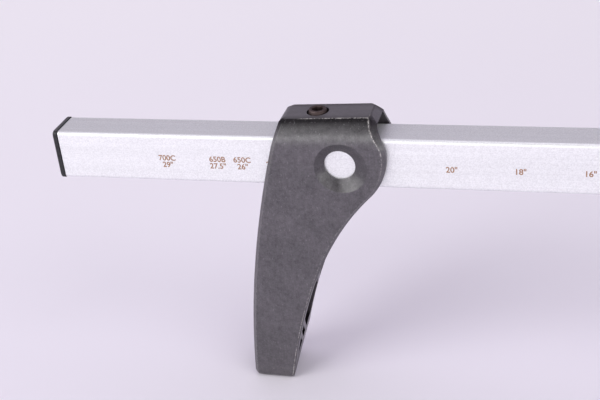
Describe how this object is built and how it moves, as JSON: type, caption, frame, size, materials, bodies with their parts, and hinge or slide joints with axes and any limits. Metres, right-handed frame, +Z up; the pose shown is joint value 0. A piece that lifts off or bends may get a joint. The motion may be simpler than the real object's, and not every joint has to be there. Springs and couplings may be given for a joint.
{
  "type": "wheel dishing gauge",
  "caption": "Bench gauge that compares a bicycle rim's centring on its hub: a rectangular bar with sliding moulded legs, read through round windows, and a clamped probe in the middle.",
  "frame": {"origin": "on the surface the legs stand on, under the middle of the gauge's box; the bar's mid-plane lies 8.675 mm behind it, because the clamp knob stands out in front", "axes": "+X along the bar to the right as the window side is read, -Y towards the reader, +Z up"},
  "size_m": [0.6546, 0.0442, 0.1626],
  "materials": {
    "blasted_aluminium": "fine blasted and drawn aluminium, satin",
    "black_cap": "black moulded plastic, light sheen",
    "black_moulding": "black glass-filled plastic with a fine matt grain",
    "zinc_plate": "zinc-plated steel",
    "black_oxide": "brown-black oxide on steel",
    "natural_nylon": "natural nylon",
    "brass": "turned brass",
    "ground_steel": "ground and polished steel"
  },
  "bodies": {
    "frame": {"bar_tube": "blasted_aluminium", "left_end_cap": "black_cap", "right_end_cap": "black_cap", "centre_housing": "black_moulding", "left_housing_screw": "black_oxide", "right_housing_screw": "black_oxide", "upper_rod_bush": "brass", "lower_rod_bush": "brass", "thumb_insert": "brass"},
    "left_leg": {"left_leg": "black_moulding", "left_leg_nut": "zinc_plate", "left_friction_shoe": "natural_nylon"},
    "left_screw": {"left_set_screw": "black_oxide"},
    "right_leg": {"right_leg": "black_moulding", "right_leg_nut": "zinc_plate", "right_friction_shoe": "natural_nylon"},
    "right_screw": {"right_set_screw": "black_oxide"},
    "probe": {"probe_rod": "ground_steel", "probe_foot": "ground_steel", "probe_foot_screw": "black_oxide", "probe_grip": "black_moulding", "probe_grip_screw": "black_oxide"},
    "clamp_pad": {"clamp_pad": "brass"},
    "thumb_screw": {"thumb_stud": "zinc_plate", "thumb_knob": "black_moulding"}
  },
  "joints": [
    {"name": "left_leg_slide", "type": "slide", "parent": "frame", "child": "left_leg", "axis": [1, 0, 0], "range_m": [-0.08, 0.17]},
    {"name": "left_screw_turn", "type": "hinge", "parent": "left_leg", "child": "left_screw", "pos_m": [-0.2197, 0.00868, 0.1165], "axis": [0, 0, 1], "range_deg": [0, 270]},
    {"name": "right_leg_slide", "type": "slide", "parent": "frame", "child": "right_leg", "axis": [-1, 0, 0], "range_m": [-0.08, 0.17]},
    {"name": "right_screw_turn", "type": "hinge", "parent": "right_leg", "child": "right_screw", "pos_m": [0.2197, 0.00868, 0.1165], "axis": [0, 0, 1], "range_deg": [0, 270]},
    {"name": "probe_slide", "type": "slide", "parent": "frame", "child": "probe", "axis": [0, 0, 1], "range_m": [-0.024, 0.02]},
    {"name": "clamp_pad_travel", "type": "slide", "parent": "frame", "child": "clamp_pad", "axis": [0, -1, 0], "range_m": [0, 0.00151]},
    {"name": "thumb_turn", "type": "hinge", "parent": "clamp_pad", "child": "thumb_screw", "pos_m": [0, -0.0181, 0.1006], "axis": [0, -1, 0], "range_deg": [0, 540]}
  ],
  "couplings": [
    {"joint": "clamp_pad_travel", "follows": "thumb_turn", "m_per_rad": 0.00015915}
  ]
}
